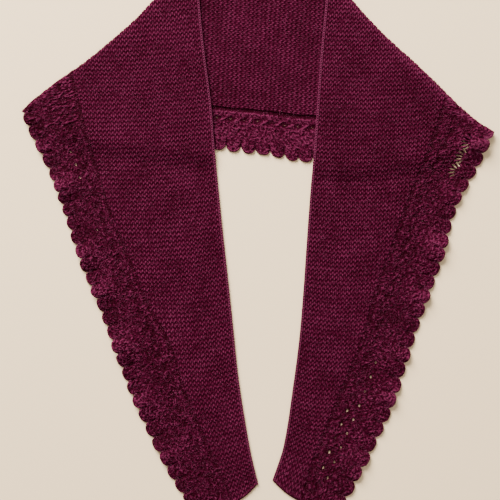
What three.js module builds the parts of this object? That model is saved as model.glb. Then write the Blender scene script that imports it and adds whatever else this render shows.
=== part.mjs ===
// A hand-knitted lace shawlette, laid flat with both fronts folded down over the back.
// Units are millimetres. +X is to the right of the garment as it lies, +Y is towards its neck, +Z is up.
// The origin is on the surface it lies on, under the middle of its outline.
import * as THREE from "three";

// Driving sizes of the cloth.
const GARTER_WALL = 3.0; // thickness of the garter stitch cloth
const LACE_WALL = 2.4; // thickness of the lace edging at its plain parts
const SEAM_GAP = 0.3; // clearance between two stretches of cloth
const LAYER_GAP = 0.3; // clearance between the back and a front lying on it
const FOLD_LAP = 3.0; // flat cloth under a fold before its seam with the back
const FOLD_SEAM_ROWS = 0.14; // ridges between the garter stitch and the edging where both go under a fold
const NECK_CORNER_ROWS = 0.6; // ridges from a fold's end at the neck edge to the first row drawn
const ROWS_PER_SCALLOP = 3; // garter ridges in one repeat of the edging
const SCALLOP_DEPTH = 5.5; // from a scallop's tip to the notches beside it
const RAMP_START = 3; // how far past the back's edge a front stays lifted
const RAMP_END = 24; // how far past the back's edge a front has come down to the surface
const ROW_BOW = 2.5; // sag of a row of knitting across a front

// Sampling of the walls.
const GARTER_ROW_STEP = 2.5; // ridges between two sections of garter stitch
const GARTER_COLUMNS = 7;
const CELLS_PER_SCALLOP = 4;
const HIDDEN_CELLS_PER_SCALLOP = 2;
const FOLD_STEPS = 5; // facets round a fold

const WINE = new THREE.Color(0.13, 0.012, 0.04); // linear red, green and blue
const cloth = () => new THREE.MeshStandardMaterial({ color: WINE, roughness: 0.95, metalness: 0 });

// Sections of each stretch. A row is one garter ridge, counted from the level of the fold's outer corner.
// in: the neck edge, bo: the border between garter stitch and lace, tip: the line through the scallop tips.
// Rows that start past a fold go on as if the cloth were flat, and are cut off at the fold.
const LEFT_ROWS = [
  { row: -34, inX: -63, inY: 300, boX: -210, boY: 293, tipX: -275, tipY: 277 },
  { row: -23, inX: -60.5, inY: 245.5, boX: -206, boY: 238.5, tipX: -270, tipY: 220.5 },
  { row: -12, inX: -55.5, inY: 193, boX: -196.5, boY: 185, tipX: -260.5, tipY: 166 },
  { row: 0, inX: -48.5, inY: 138.5, boX: -184, boY: 130, tipX: -242.5, tipY: 112 },
  { row: 10.5, inX: -44.5, inY: 89.1, boX: -170.8, boY: 81.8, tipX: -218.3, tipY: 60.8 },
  { row: 21, inX: -40, inY: 40, boX: -156.5, boY: 32.5, tipX: -202.5, tipY: 17 },
  { row: 31.5, inX: -34.9, inY: -9.2, boX: -136.5, boY: -16.9, tipX: -185.4, tipY: -34.8 },
  { row: 42, inX: -29.5, inY: -58, boX: -116.5, boY: -66, tipX: -165.5, tipY: -83 },
  { row: 52.5, inX: -24.4, inY: -107.2, boX: -90.5, boY: -115.6, tipX: -147.2, tipY: -134.5 },
  { row: 63, inX: -19, inY: -156.5, boX: -74.5, boY: -166, tipX: -127, tipY: -185 },
  { row: 78, inX: -7.5, inY: -226, boX: -43, boY: -238.5, tipX: -89.5, tipY: -260.5 },
  { row: 87, inX: 1, inY: -262.5, boX: -23, boY: -282.5, tipX: -62, tipY: -300 },
];
const RIGHT_ROWS = [
  { row: -30, inX: 73.5, inY: 278.5, boX: 215.5, boY: 281.5, tipX: 276, tipY: 271 },
  { row: -23, inX: 72, inY: 245.5, boX: 212, boY: 249, tipX: 272, tipY: 236 },
  { row: -12, inX: 67, inY: 193, boX: 203.5, boY: 196.5, tipX: 263.5, tipY: 184 },
  { row: 0, inX: 63, inY: 136.5, boX: 195.5, boY: 139.5, tipX: 255, tipY: 127 },
  { row: 10.5, inX: 59.5, inY: 87, boX: 178.8, boY: 89.7, tipX: 236.7, tipY: 76.5 },
  { row: 21, inX: 55.5, inY: 38, boX: 159.5, boY: 40, tipX: 211, tipY: 28.5 },
  { row: 31.5, inX: 51.9, inY: -11.7, boX: 141.5, boY: -10.6, tipX: 196.8, tipY: -23.8 },
  { row: 42, inX: 48.5, inY: -61, boX: 123, boY: -62, tipX: 178.5, tipY: -74.5 },
  { row: 52.5, inX: 44.2, inY: -110.4, boX: 107.9, boY: -113.5, tipX: 160.4, tipY: -128.8 },
  { row: 63, inX: 38, inY: -158.5, boX: 87, boY: -165, tipX: 142.5, tipY: -184.5 },
  { row: 78, inX: 27.5, inY: -224.5, boX: 58, boY: -237.5, tipX: 105, tipY: -262.5 },
  { row: 84, inX: 16, inY: -259.5, boX: 45, boY: -281.5, tipX: 88, tipY: -294 },
];
const BACK_ROWS = [
  { row: -48, inX: -212, inY: 322.5, boX: -222.5, boY: 176.5, tipX: -247, tipY: 128 },
  { row: -42, inX: -184, inY: 319, boX: -194, boY: 166, tipX: -217.5, tipY: 115.5 },
  { row: -24, inX: -102, inY: 306.5, boX: -112.5, boY: 144, tipX: -127, tipY: 97.5 },
  { row: -9, inX: -32.5, inY: 295, boX: -42, boY: 134.5, tipX: -48.5, tipY: 89 },
  { row: 1.5, inX: 16, inY: 287.5, boX: 6.5, boY: 130, tipX: 5.5, tipY: 83 },
  { row: 12, inX: 64, inY: 279.5, boX: 54.5, boY: 125, tipX: 59, tipY: 74.5 },
  { row: 27, inX: 133.5, inY: 269, boX: 125, boY: 128, tipX: 137.5, tipY: 79.5 },
  { row: 44, inX: 212, inY: 256, boX: 202.5, boY: 148, tipX: 228, tipY: 97.5 },
  { row: 48, inX: 230, inY: 254, boX: 221.5, boY: 155.5, tipX: 247, tipY: 109 },
];

// The outer line of each fold, from its outer corner to the neck edge.
const LEFT_FOLD = [
  { x: -246.5, y: 130 },
  { x: -236, y: 140.5 },
  { x: -209, y: 161.5 },
  { x: -179.5, y: 182.5 },
  { x: -154, y: 203.5 },
  { x: -130, y: 224.5 },
  { x: -110, y: 245.5 },
  { x: -63, y: 300 },
];
const RIGHT_FOLD = [
  { x: 73.5, y: 278.5 },
  { x: 101, y: 245.5 },
  { x: 119.5, y: 224.5 },
  { x: 140.5, y: 203.5 },
  { x: 164, y: 182.5 },
  { x: 186, y: 161.5 },
  { x: 207, y: 140.5 },
  { x: 228.5, y: 121 },
  { x: 246.5, y: 109 },
];

// Columns of the edging from the garter stitch (0) to the scallop tips (1), with the wall's thickness.
const EDGING_COLUMNS = [
  { at: 0, thick: 2.4 },
  { at: 0.06, thick: 1.4 }, // ladder of long strands
  { at: 0.13, thick: 2.8 }, // raised row beside the ladder
  { at: 0.2, thick: 2.0 },
  { at: 0.33, thick: 2.0 },
  { at: 0.37, thick: 2.2 },
  { at: 0.46, thick: 2.2 },
  { at: 0.76, thick: 2.4 },
  { at: 1, thick: 2.8 }, // thick rim of a scallop
];
// Rows of eyelets: between a column and the next, from one cell of the repeat on, for a number of cells.
// The two sides of an eyelet close in at its ends by the pinch.
const EYELETS = [
  { column: 3, cell: 3, cells: 2, pinch: 0.035 },
  { column: 5, cell: 1, cells: 2, pinch: 0.02 },
];

// Ruffles of the edging. crest: the row at the top, rise: how far the row's outer end is lifted,
// half: half the wave's length in rows.
const LEFT_RUFFLES = [
  { crest: 5, rise: 3, half: 3.5 },
  { crest: 14, rise: 5, half: 4 },
  { crest: 29.5, rise: 5, half: 4 },
  { crest: 38, rise: 4, half: 3.5 },
  { crest: 50, rise: 6, half: 4.5 },
  { crest: 62, rise: 3, half: 4 },
  { crest: 73, rise: 2.5, half: 4 },
];
const RIGHT_RUFFLES = [
  { crest: 7, rise: 5, half: 4 },
  { crest: 19, rise: 3, half: 4 },
  { crest: 30, rise: 5, half: 4.5 },
  { crest: 41, rise: 4, half: 4 },
  { crest: 53, rise: 2.5, half: 4 },
  { crest: 61, rise: 4, half: 4 },
  { crest: 75, rise: 3, half: 4.5 },
];
const RUFFLE_ROOT = 0.3; // where across the edging the ruffles begin

const clamp01 = (value) => Math.min(1, Math.max(0, value));
const smooth = (low, high, value) => {
  const share = clamp01((value - low) / (high - low));
  return share * share * (3 - 2 * share);
};
const mix = (a, b, share) => a + (b - a) * share;

// The value of one column of a table at a place between its rows, on a smooth curve through them.
function curveThrough(table, by, key, place) {
  const last = table.length - 1;
  let i = 0;
  while (i < last - 1 && place > table[i + 1][by]) i++;
  const slopeAt = (k) => {
    const a = table[Math.max(0, k - 1)];
    const b = table[Math.min(last, k + 1)];
    return (b[key] - a[key]) / (b[by] - a[by]);
  };
  const [p, q] = [table[i], table[i + 1]];
  if (place < table[0][by]) return p[key] + (place - p[by]) * slopeAt(0);
  if (place > q[by]) return q[key] + (place - q[by]) * slopeAt(last);
  const span = q[by] - p[by];
  const t = (place - p[by]) / span;
  const [m0, m1] = [slopeAt(i) * span, slopeAt(i + 1) * span];
  return (
    (2 * t ** 3 - 3 * t ** 2 + 1) * p[key] +
    (t ** 3 - 2 * t ** 2 + t) * m0 +
    (3 * t ** 2 - 2 * t ** 3) * q[key] +
    (t ** 3 - t ** 2) * m1
  );
}

// A point of a row of knitting: "in", "bo" or "tip".
const rowPoint = (table, row, name) => ({
  x: curveThrough(table, "row", name + "X", row),
  y: curveThrough(table, "row", name + "Y", row),
});

const between = (a, b, share) => ({ x: mix(a.x, b.x, share), y: mix(a.y, b.y, share) });

// How far a point lies outside a fold line, in Y, when the line is drawn in by a distance.
function pastFold(fold, point, inset) {
  const slope = foldSlope(fold, point.x);
  return point.y - (curveThrough(fold, "x", "y", point.x) - inset * Math.hypot(1, slope));
}

function foldSlope(fold, x) {
  const reach = 1;
  return (curveThrough(fold, "x", "y", x + reach) - curveThrough(fold, "x", "y", x - reach)) / (2 * reach);
}

// The unit vector that points out of the garment across a fold.
function foldOut(fold, x) {
  const slope = foldSlope(fold, x);
  const length = Math.hypot(1, slope);
  return { x: -slope / length, y: 1 / length };
}

// The share of the way from a to b at which a fold line is crossed.
function foldCrossing(fold, a, b, inset) {
  let [low, high] = [0, 1];
  const startsOut = pastFold(fold, a, inset) > 0;
  for (let i = 0; i < 40; i++) {
    const middle = (low + high) / 2;
    if (pastFold(fold, between(a, b, middle), inset) > 0 === startsOut) low = middle;
    else high = middle;
  }
  return low;
}

// The height of the surface that a front lies on: the back, and then the floor past the back's edge.
function liftAt(point) {
  const edge = curveThrough(BACK_ROWS.map(({ tipX, tipY }) => ({ tipX, tipY })), "tipX", "tipY", point.x);
  return (GARTER_WALL + LAYER_GAP) * (1 - smooth(RAMP_START, RAMP_END, edge - point.y));
}

// How much a ruffle lifts a row's outer end.
function ruffleAt(ruffles, row, across) {
  let rise = 0;
  for (const wave of ruffles) {
    const away = (row - wave.crest) / wave.half;
    if (Math.abs(away) < 1) rise += wave.rise * (0.5 + 0.5 * Math.cos(Math.PI * away));
  }
  return rise * smooth(RUFFLE_ROOT, 1, across);
}

// How full a scallop is at a row: 0 in a notch, 1 at a tip.
function scallopFullness(row) {
  const phase = (((row / ROWS_PER_SCALLOP) % 1) + 1) % 1;
  return Math.sqrt(Math.max(0, 1 - (2 * phase - 1) ** 2));
}

// A closed wall from a grid of sections. A section is a list of {x, y, under, over} or {lower, upper} points.
// isOpen(i, j) says which cells between sections i and i + 1 have no cloth.
function wall(name, sections, isOpen) {
  const columns = Math.max(...sections.map((section) => section.length));
  const position = [];
  const index = [];
  const ids = sections.map((section) =>
    section.map((point) => {
      const lower = point.lower ?? [point.x, point.y, point.under];
      const upper = point.upper ?? [point.x, point.y, point.over];
      position.push(...lower, ...upper);
      return position.length / 3 - 2;
    }),
  );
  const solid = (i, j) =>
    i >= 0 &&
    j >= 0 &&
    i < sections.length - 1 &&
    j < columns - 1 &&
    j + 1 < sections[i].length &&
    j + 1 < sections[i + 1].length &&
    !isOpen(i, j);
  const quad = (a, b, c, d) => index.push(a, b, c, a, c, d);
  for (let i = 0; i < sections.length - 1; i++)
    for (let j = 0; j < columns - 1; j++) {
      if (!solid(i, j)) continue;
      const [a, b, c, d] = [ids[i][j], ids[i][j + 1], ids[i + 1][j + 1], ids[i + 1][j]];
      quad(a + 1, b + 1, c + 1, d + 1);
      quad(d, c, b, a);
      if (!solid(i - 1, j)) quad(b + 1, a + 1, a, b);
      if (!solid(i, j + 1)) quad(c + 1, b + 1, b, c);
      if (!solid(i + 1, j)) quad(d + 1, c + 1, c, d);
      if (!solid(i, j - 1)) quad(a + 1, d + 1, d, a);
    }
  if (signedVolume(position, index) < 0)
    for (let k = 0; k < index.length; k += 3) [index[k], index[k + 1]] = [index[k + 1], index[k]];
  const geometry = new THREE.BufferGeometry();
  geometry.setAttribute("position", new THREE.Float32BufferAttribute(position, 3));
  geometry.setIndex(index);
  geometry.computeVertexNormals();
  const mesh = new THREE.Mesh(geometry, cloth());
  mesh.name = name;
  return mesh;
}

function signedVolume(position, index) {
  const corner = (k) => new THREE.Vector3().fromArray(position, 3 * k);
  let volume = 0;
  for (let k = 0; k < index.length; k += 3)
    volume += corner(index[k]).dot(corner(index[k + 1]).cross(corner(index[k + 2])));
  return volume;
}

// The part of a section that goes round a fold and a little way back under the cloth.
function turnUnder(fold, crease, top, thick) {
  const out = foldOut(fold, crease.x);
  const radius = top / 2;
  const points = [];
  for (let k = 1; k <= FOLD_STEPS; k++) {
    const turn = (Math.PI * k) / FOLD_STEPS;
    const place = (r) => [
      crease.x + out.x * r * Math.sin(turn),
      crease.y + out.y * r * Math.sin(turn),
      radius + r * Math.cos(turn),
    ];
    points.push({ upper: place(radius), lower: place(radius - thick) });
  }
  const lap = (z) => [crease.x - out.x * FOLD_LAP, crease.y - out.y * FOLD_LAP, z];
  points.push({ upper: lap(0), lower: lap(thick) });
  return points;
}

const stepsFrom = (from, to, step) => {
  const count = Math.max(1, Math.round((to - from) / step));
  return Array.from({ length: count + 1 }, (_, i) => from + ((to - from) * i) / count);
};

const foldRadius = (GARTER_WALL * 2 + LAYER_GAP) / 2;

// The ridge at which a line of a front, "in", "bo" or "tip", goes under the fold.
function foldRow(front, name) {
  let [low, high] = [front.rows[0].row, 0];
  for (let i = 0; i < 40; i++) {
    const middle = (low + high) / 2;
    if (pastFold(front.fold, rowPoint(front.rows, middle, name), foldRadius) > 0) low = middle;
    else high = middle;
  }
  return high;
}

// The garter stitch of a front: flat rows, the first of them turned under at the fold.
function frontGarter(front) {
  const meet = foldRow(front, "bo");
  const folded = stepsFrom(foldRow(front, "in") + NECK_CORNER_ROWS, meet, GARTER_ROW_STEP);
  const flat = stepsFrom(meet, front.lastRow, GARTER_ROW_STEP).slice(1);
  const sections = [...folded, ...flat].map((row, i) => {
    const start = rowPoint(front.rows, row, "in");
    const border = rowPoint(front.rows, row, "bo");
    const turned = i < folded.length;
    const end = turned ? between(start, border, foldCrossing(front.fold, start, border, foldRadius)) : border;
    const section = Array.from({ length: GARTER_COLUMNS + 1 }, (_, j) => {
      const point = between(start, end, j / GARTER_COLUMNS);
      point.y -= ROW_BOW * Math.sin(Math.PI * (j / GARTER_COLUMNS));
      const under = turned ? GARTER_WALL + LAYER_GAP : liftAt(point);
      return { ...point, under, over: under + GARTER_WALL };
    });
    return turned ? [...section, ...turnUnder(front.fold, end, 2 * foldRadius, GARTER_WALL)] : section;
  });
  return wall(front.name + "_front_garter", sections, () => false);
}

// How many cells past the start of an eyelet's cell a row is, within its repeat.
const cellsPast = (row, eyelet) => {
  const cell = Math.round((row * CELLS_PER_SCALLOP) / ROWS_PER_SCALLOP) - eyelet.cell;
  return ((cell % CELLS_PER_SCALLOP) + CELLS_PER_SCALLOP) % CELLS_PER_SCALLOP;
};

// Whether the cell after a row is open in a column.
const isEyelet = (row, column) =>
  EYELETS.some((eyelet) => eyelet.column === column && cellsPast(row, eyelet) < eyelet.cells);

// The points across a row of edging between two places.
function edgingSection(start, end, row, heightAt) {
  return EDGING_COLUMNS.map(({ at, thick }, j) => {
    let across = at;
    for (const eyelet of EYELETS) {
      const past = cellsPast(row, eyelet);
      if (past !== 0 && past !== eyelet.cells) continue;
      if (j === eyelet.column) across += eyelet.pinch;
      if (j === eyelet.column + 1) across -= eyelet.pinch;
    }
    const point = between(start, end, across);
    const under = heightAt(point, across);
    return { ...point, under, over: under + thick };
  });
}

// The end of a row of edging, drawn in from the line of the tips by the scallops.
function scallopEnd(rows, row) {
  const border = rowPoint(rows, row, "bo");
  const tip = rowPoint(rows, row, "tip");
  const length = Math.hypot(tip.x - border.x, tip.y - border.y);
  return between(border, tip, 1 - (SCALLOP_DEPTH * (1 - scallopFullness(row))) / length);
}

// A point just past the border, clear of the garter stitch by the seam gap.
function seamPoint(border, tip, gap) {
  return between(border, tip, gap / Math.hypot(tip.x - border.x, tip.y - border.y));
}

// The rows of a front's edging: one just past the fold's seam, and then every cell of the scallops.
function frontEdgingRows(front) {
  const cellRows = ROWS_PER_SCALLOP / CELLS_PER_SCALLOP;
  const seam = foldRow(front, "bo") + FOLD_SEAM_ROWS;
  const first = Math.ceil(seam / cellRows + 0.4) * cellRows;
  return [seam, ...stepsFrom(first, front.lastRow, cellRows)];
}

// The lace edging of a front, its first rows turned under at the fold.
function frontEdging(front) {
  const rows = frontEdgingRows(front);
  const lift = GARTER_WALL + LAYER_GAP;
  const top = lift + LACE_WALL;
  const sections = rows.map((row) => {
    const start = seamPoint(rowPoint(front.rows, row, "bo"), rowPoint(front.rows, row, "tip"), SEAM_GAP);
    const edge = scallopEnd(front.rows, row);
    if (row >= front.openRow)
      return edgingSection(start, edge, row, (point, across) =>
        liftAt(point) + ruffleAt(front.ruffles, row, across),
      );
    const crease = between(start, edge, foldCrossing(front.fold, start, edge, top / 2));
    const section = edgingSection(start, crease, row, () => lift);
    return [...section, ...turnUnder(front.fold, crease, top, LACE_WALL)];
  });
  const hasEyelets = (row) => row > front.openRow && row < front.lastRow - 1;
  return wall(front.name + "_front_edging", sections, (i, j) => hasEyelets(rows[i]) && isEyelet(rows[i], j));
}

// Where a row of the back starts: at the neck edge, or where it comes out from under a fold.
function backStart(row, from, to, inset) {
  let start = rowPoint(BACK_ROWS, row, from);
  const end = rowPoint(BACK_ROWS, row, to);
  for (const fold of [LEFT_FOLD, RIGHT_FOLD])
    if (pastFold(fold, start, inset) > 0) start = between(start, end, foldCrossing(fold, start, end, inset));
  return start;
}

const backInset = foldRadius + FOLD_LAP + SEAM_GAP;

// The garter stitch of the back, flat on the surface and cut off where the fronts' folds reach under.
function backGarter() {
  const rows = stepsFrom(BACK_GARTER_SPAN.from, BACK_GARTER_SPAN.to, GARTER_ROW_STEP);
  const sections = rows.map((row) => {
    const start = backStart(row, "in", "bo", backInset);
    const border = rowPoint(BACK_ROWS, row, "bo");
    return Array.from({ length: GARTER_COLUMNS + 1 }, (_, j) => ({
      ...between(start, border, j / GARTER_COLUMNS),
      under: 0,
      over: GARTER_WALL,
    }));
  });
  return wall("back_garter", sections, () => false);
}

// The lace edging of the back. Only the stretch between the fronts shows, so only that has eyelets.
function backEdging() {
  const fine = ROWS_PER_SCALLOP / CELLS_PER_SCALLOP;
  const coarse = ROWS_PER_SCALLOP / HIDDEN_CELLS_PER_SCALLOP;
  const { from, to, shownFrom, shownTo } = BACK_EDGING_SPAN;
  const rows = [
    ...stepsFrom(from, shownFrom, coarse).slice(0, -1),
    ...stepsFrom(shownFrom, shownTo, fine),
    ...stepsFrom(shownTo, to, coarse).slice(1),
  ];
  const sections = rows.map((row) => {
    const border = seamPoint(rowPoint(BACK_ROWS, row, "bo"), rowPoint(BACK_ROWS, row, "tip"), SEAM_GAP);
    const cut = backStart(row, "bo", "tip", backInset);
    const start = cut.y < border.y ? cut : border;
    return edgingSection(start, scallopEnd(BACK_ROWS, row), row, () => 0);
  });
  const shown = (row) => row >= shownFrom && row < shownTo;
  return wall("back_edging", sections, (i, j) => shown(rows[i]) && isEyelet(rows[i], j));
}

const BACK_GARTER_SPAN = { from: -41.2, to: 41.6 };
const BACK_EDGING_SPAN = { from: -45, to: 45, shownFrom: -12, shownTo: 15 };

const LEFT_FRONT = {
  name: "left",
  rows: LEFT_ROWS,
  fold: LEFT_FOLD,
  ruffles: LEFT_RUFFLES,
  openRow: 0,
  lastRow: 87,
};
const RIGHT_FRONT = {
  name: "right",
  rows: RIGHT_ROWS,
  fold: RIGHT_FOLD,
  ruffles: RIGHT_RUFFLES,
  openRow: 3,
  lastRow: 84,
};

const shawlette = new THREE.Group();
shawlette.add(backGarter(), backEdging());
for (const front of [LEFT_FRONT, RIGHT_FRONT]) shawlette.add(frontGarter(front), frontEdging(front));

export default shawlette;
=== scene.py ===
"""The knitted surface, wool and stage of a lace shawlette that lies flat with its fronts folded down.

Sizes in the tables are in millimetres, in the part's own frame. Meshes are in metres.
"""

import math
from collections import namedtuple

import bpy
import numpy as np
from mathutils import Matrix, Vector
from mathutils.geometry import delaunay_2d_cdt


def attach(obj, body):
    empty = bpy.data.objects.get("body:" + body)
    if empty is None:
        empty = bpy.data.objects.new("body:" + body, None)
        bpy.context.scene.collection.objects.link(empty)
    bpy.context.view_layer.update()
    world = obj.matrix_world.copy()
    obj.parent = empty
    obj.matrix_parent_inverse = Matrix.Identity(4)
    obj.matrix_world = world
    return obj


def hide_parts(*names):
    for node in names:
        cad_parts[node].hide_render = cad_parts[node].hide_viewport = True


bl_info = {
    "name": "Lace shawlette",
    "version": (1, 0, 0),
    "blender": (4, 5, 0),
    "location": "View3D > Sidebar > Shawlette",
    "description": "Knits the stitches, lace and chain edges of a shawlette over its frame",
    "category": "Object",
}

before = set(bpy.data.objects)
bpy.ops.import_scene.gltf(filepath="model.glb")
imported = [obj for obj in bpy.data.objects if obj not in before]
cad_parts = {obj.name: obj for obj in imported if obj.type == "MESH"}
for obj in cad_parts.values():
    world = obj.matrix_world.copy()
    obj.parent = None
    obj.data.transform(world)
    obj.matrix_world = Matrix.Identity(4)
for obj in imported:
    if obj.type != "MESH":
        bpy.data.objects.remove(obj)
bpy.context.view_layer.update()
MM = 0.001

# The cloth's sections. A row is one garter ridge. Each row runs from the neck edge, over the border between
# garter stitch and lace, to the line through the scallop tips. Rows past a fold go on as if the cloth
# were flat.
Row = namedtuple("Row", "row in_x in_y border_x border_y tip_x tip_y")
LEFT_ROWS = [
    Row(-34, -63, 300, -210, 293, -275, 277),
    Row(-23, -60.5, 245.5, -206, 238.5, -270, 220.5),
    Row(-12, -55.5, 193, -196.5, 185, -260.5, 166),
    Row(0, -48.5, 138.5, -184, 130, -242.5, 112),
    Row(10.5, -44.5, 89.1, -170.8, 81.8, -218.3, 60.8),
    Row(21, -40, 40, -156.5, 32.5, -202.5, 17),
    Row(31.5, -34.9, -9.2, -136.5, -16.9, -185.4, -34.8),
    Row(42, -29.5, -58, -116.5, -66, -165.5, -83),
    Row(52.5, -24.4, -107.2, -90.5, -115.6, -147.2, -134.5),
    Row(63, -19, -156.5, -74.5, -166, -127, -185),
    Row(78, -7.5, -226, -43, -238.5, -89.5, -260.5),
    Row(87, 1, -262.5, -23, -282.5, -62, -300),
]
RIGHT_ROWS = [
    Row(-30, 73.5, 278.5, 215.5, 281.5, 276, 271),
    Row(-23, 72, 245.5, 212, 249, 272, 236),
    Row(-12, 67, 193, 203.5, 196.5, 263.5, 184),
    Row(0, 63, 136.5, 195.5, 139.5, 255, 127),
    Row(10.5, 59.5, 87, 178.8, 89.7, 236.7, 76.5),
    Row(21, 55.5, 38, 159.5, 40, 211, 28.5),
    Row(31.5, 51.9, -11.7, 141.5, -10.6, 196.8, -23.8),
    Row(42, 48.5, -61, 123, -62, 178.5, -74.5),
    Row(52.5, 44.2, -110.4, 107.9, -113.5, 160.4, -128.8),
    Row(63, 38, -158.5, 87, -165, 142.5, -184.5),
    Row(78, 27.5, -224.5, 58, -237.5, 105, -262.5),
    Row(84, 16, -259.5, 45, -281.5, 88, -294),
]
BACK_ROWS = [
    Row(-48, -212, 322.5, -222.5, 176.5, -247, 128),
    Row(-42, -184, 319, -194, 166, -217.5, 115.5),
    Row(-24, -102, 306.5, -112.5, 144, -127, 97.5),
    Row(-9, -32.5, 295, -42, 134.5, -48.5, 89),
    Row(1.5, 16, 287.5, 6.5, 130, 5.5, 83),
    Row(12, 64, 279.5, 54.5, 125, 59, 74.5),
    Row(27, 133.5, 269, 125, 128, 137.5, 79.5),
    Row(44, 212, 256, 202.5, 148, 228, 97.5),
    Row(48, 230, 254, 221.5, 155.5, 247, 109),
]

# The outer line of each fold, from left to right.
Point = namedtuple("Point", "x y")
LEFT_FOLD = [
    Point(-246.5, 130), Point(-236, 140.5), Point(-209, 161.5), Point(-179.5, 182.5),
    Point(-154, 203.5), Point(-130, 224.5), Point(-110, 245.5), Point(-63, 300),
]
RIGHT_FOLD = [
    Point(73.5, 278.5), Point(101, 245.5), Point(119.5, 224.5), Point(140.5, 203.5), Point(164, 182.5),
    Point(186, 161.5), Point(207, 140.5), Point(228.5, 121), Point(246.5, 109),
]

# Ruffles of the edging: row at the crest, rise of the row's outer end, half the wave's length in rows.
Ruffle = namedtuple("Ruffle", "crest rise half")
LEFT_RUFFLES = [
    Ruffle(5, 3, 3.5), Ruffle(14, 5, 4), Ruffle(29.5, 5, 4), Ruffle(38, 4, 3.5), Ruffle(50, 6, 4.5),
    Ruffle(62, 3, 4), Ruffle(73, 2.5, 4),
]
RIGHT_RUFFLES = [
    Ruffle(7, 5, 4), Ruffle(19, 3, 4), Ruffle(30, 5, 4.5), Ruffle(41, 4, 4), Ruffle(53, 2.5, 4),
    Ruffle(61, 4, 4), Ruffle(75, 3, 4.5),
]
RUFFLE_ROOT = 0.3  # share of the edging's depth at which its ruffles begin

# Walls and clearances, the same as the frame's.
GARTER_WALL = 3.0
LACE_WALL = 2.4
LAYER_GAP = 0.3
SEAM_GAP = 0.3
SEAM_LAP = 0.7  # how far the lace goes into the edge of the garter stitch
FOLD_LAP = 3.0  # how far the cloth goes on under a fold
RAMP_START = 3  # how far past the back's edge a front begins to come down
RAMP_END = 24  # how far past it the front lies on the surface
ROW_BOW = 2.5  # how far the rows of the fronts bow downwards

# Gauge of the knitting.
STITCH = 4.2
RIDGE = 4.7
SAMPLES_PER_STITCH = 5.2
LINES_PER_RIDGE = 6
COARSE_LINES_PER_RIDGE = 2  # where a front hides the back
ROWS_PER_SCALLOP = 3
REPEAT = 15.0  # length of one repeat of the lace chart
LACE_DEPTH = 52.0  # depth of the lace chart
LOBE_START = 34.0  # depth at which the chart begins to follow the scallops
SCALLOP_DEPTH = 7.0


def curve(table, by, field, place):
    """A smooth curve through one column of a table, straight past its ends."""
    x = np.array([getattr(entry, by) for entry in table], float)
    y = np.array([getattr(entry, field) for entry in table], float)
    slope = np.empty_like(y)
    slope[1:-1] = (y[2:] - y[:-2]) / (x[2:] - x[:-2])
    slope[0] = (y[1] - y[0]) / (x[1] - x[0])
    slope[-1] = (y[-1] - y[-2]) / (x[-1] - x[-2])
    place = np.asarray(place, float)
    i = np.clip(np.searchsorted(x, place) - 1, 0, len(x) - 2)
    span = x[i + 1] - x[i]
    t = np.clip((place - x[i]) / span, 0, 1)
    inside = (
        (2 * t**3 - 3 * t**2 + 1) * y[i]
        + (t**3 - 2 * t**2 + t) * slope[i] * span
        + (3 * t**2 - 2 * t**3) * y[i + 1]
        + (t**3 - t**2) * slope[i + 1] * span
    )
    before, after = np.minimum(place - x[0], 0), np.maximum(place - x[-1], 0)
    return inside + before * slope[0] + after * slope[-1]


def row_point(table, row, name):
    """Points of rows of knitting, in, border or tip, as an array that ends in x and y."""
    return np.stack([curve(table, "row", name + axis, row) for axis in ("_x", "_y")], axis=-1)


def smooth(low, high, value):
    """A soft step, from 0 at low to 1 at high."""
    share = np.clip((value - low) / (high - low), 0, 1)
    return share * share * (3 - 2 * share)


LATTICE = 64  # size of the lattice of random values


def wander(x, y, seed):
    """Smooth random values from -1 to 1 over a plane, one lattice point for each unit."""
    lattice = np.random.default_rng(seed).uniform(-1, 1, (LATTICE, LATTICE))
    i, j = np.floor(x).astype(int), np.floor(y).astype(int)
    fx, fy = smooth(0, 1, x - i), smooth(0, 1, y - j)
    return sum(
        lattice[(i + a) % LATTICE, (j + b) % LATTICE] * (fx if a else 1 - fx) * (fy if b else 1 - fy)
        for b in (0, 1)
        for a in (0, 1)
    )


def fold_slope(fold, x):
    """The slope of a fold's outer line, over one millimetre to each side."""
    return (curve(fold, "x", "y", x + 1) - curve(fold, "x", "y", x - 1)) / 2


def way_out(fold, point):
    """The direction, of length 1, in which points leave the cloth over a fold."""
    slope = fold_slope(fold, point[..., 0])
    return np.stack([-slope, np.ones(slope.shape)], axis=-1) / np.hypot(1, slope)[..., None]


def past_crease(fold, point, radius):
    """How far points lie past a fold's crease, which runs a radius inside its outer line."""
    beyond = point[..., 1] - curve(fold, "x", "y", point[..., 0])
    return beyond / np.hypot(1, fold_slope(fold, point[..., 0])) + radius


TURN_PITCH = 2.2  # flat cloth for each radian of a fold
FOLD_CLOTH = math.pi * TURN_PITCH + FOLD_LAP  # flat cloth from a crease to the end of the lap
STITCH_ROOM = 0.5  # how far stitches may stand out of a fold's wall
FOLD_RADIUS = (2 * GARTER_WALL + LAYER_GAP) / 2
BACK_INSET = FOLD_RADIUS + FOLD_LAP + SEAM_GAP  # how far inside a fold's outer line the back ends
ON_BACK = GARTER_WALL + LAYER_GAP  # height of the underside of a front that lies on the back
GARTER_FOLD_BAND = 12  # how far inside a fold's outer line the garter stitch stays at that height


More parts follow.
